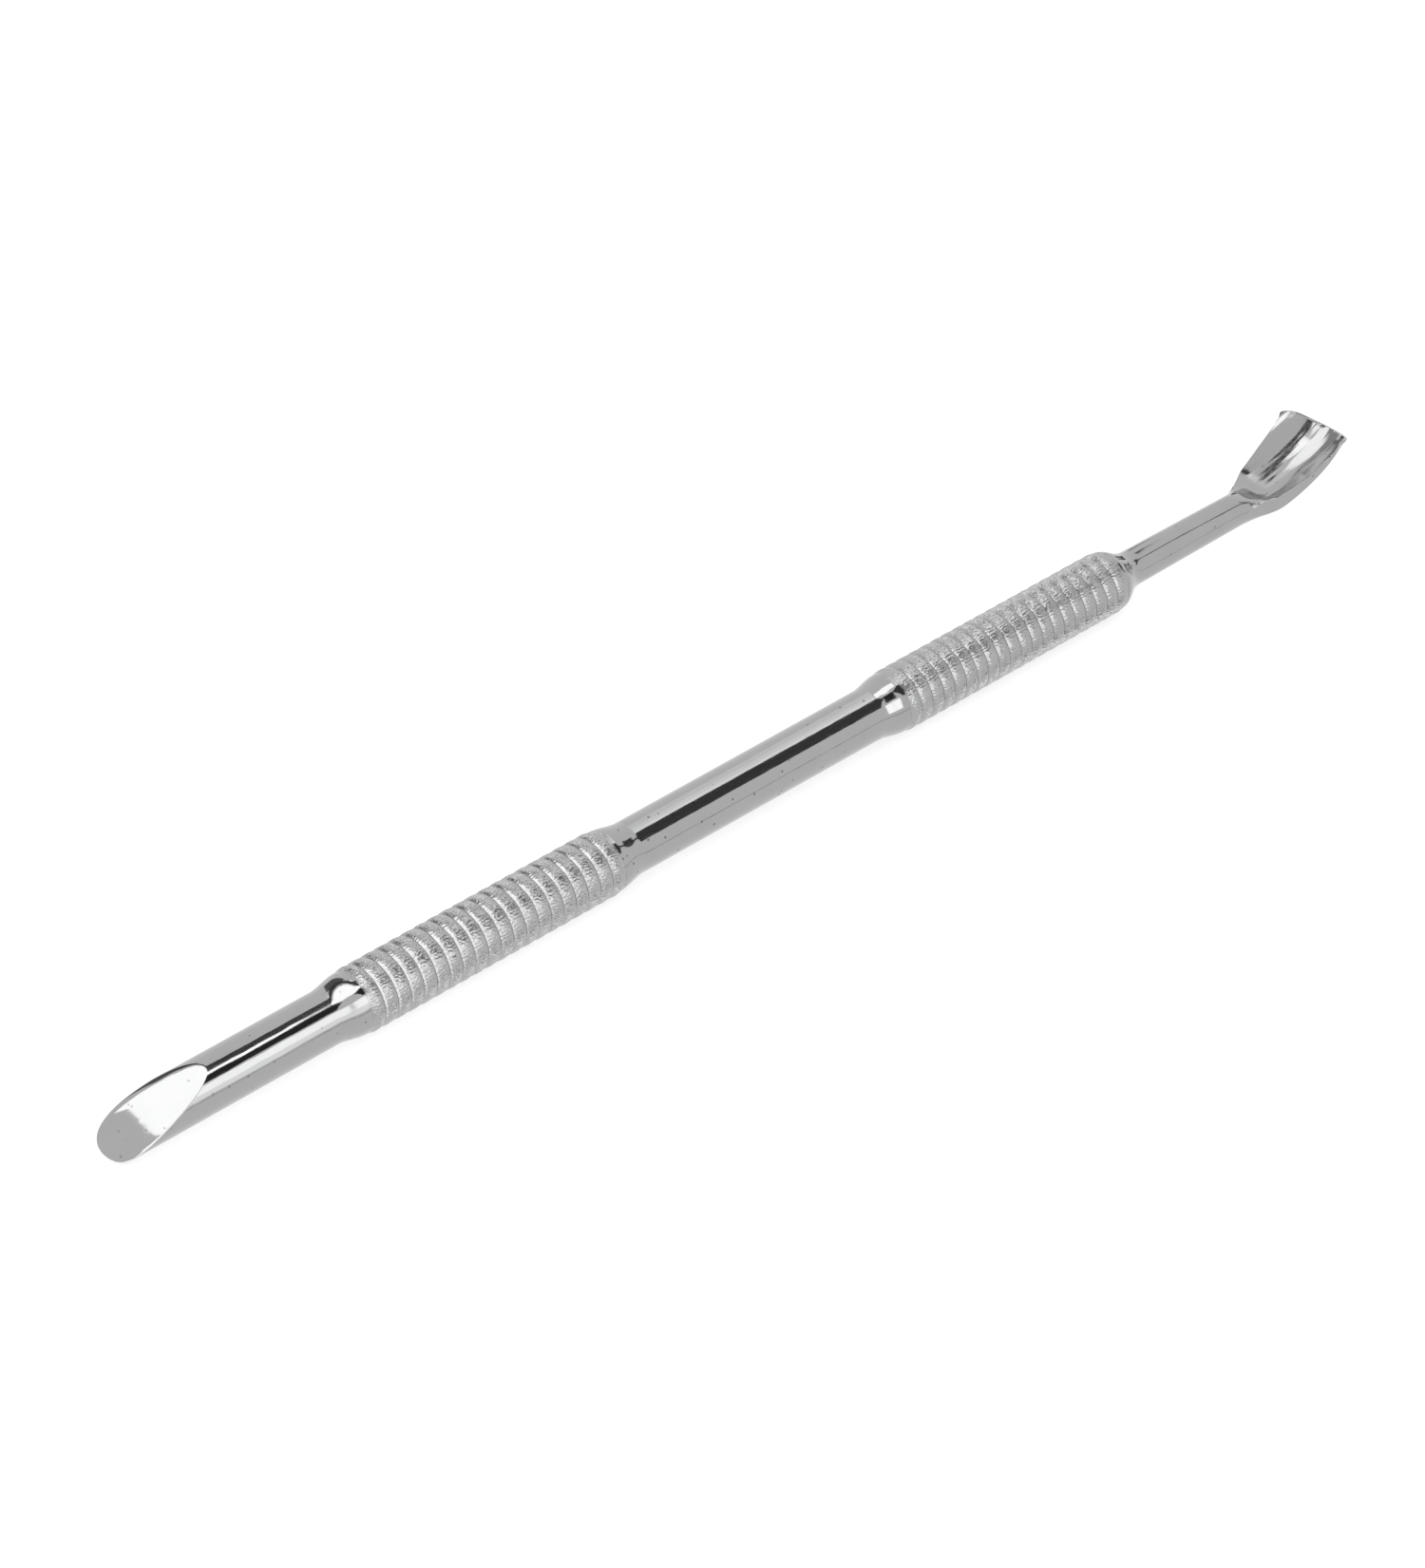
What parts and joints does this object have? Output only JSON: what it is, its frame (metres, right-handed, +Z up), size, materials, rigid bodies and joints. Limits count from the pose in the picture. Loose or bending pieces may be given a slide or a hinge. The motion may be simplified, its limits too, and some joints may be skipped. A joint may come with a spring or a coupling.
{
  "type": "cuticle pusher",
  "caption": "Double-ended steel cuticle pusher: a flared, upswept spoon on a thin neck at one end, a slant-ground rod scraper at the other, and ribbed grips joined by a smooth waist.",
  "frame": {"origin": "middle of the tool's box, at the height of the surface that the grips lie on", "axes": "+X along the tool towards the spoon, +Z up out of the spoon's bowl, +Y across the tool"},
  "size_m": [0.1348, 0.0068, 0.0072],
  "materials": {
    "ground_steel": "polished, with fine grinding marks on the slanted face",
    "knurled_steel": "knurled and ribbed, bright on the crowns",
    "polished_steel": "polished, with small pits and hairlines",
    "bowl_steel": "polished, with lengthwise streaks in the bowl"
  },
  "bodies": {
    "root": {"scraper_end": "ground_steel", "left_grip_sleeve": "knurled_steel", "waist_bar": "polished_steel", "right_grip_sleeve": "knurled_steel", "spoon_end": "bowl_steel"}
  },
  "joints": []
}
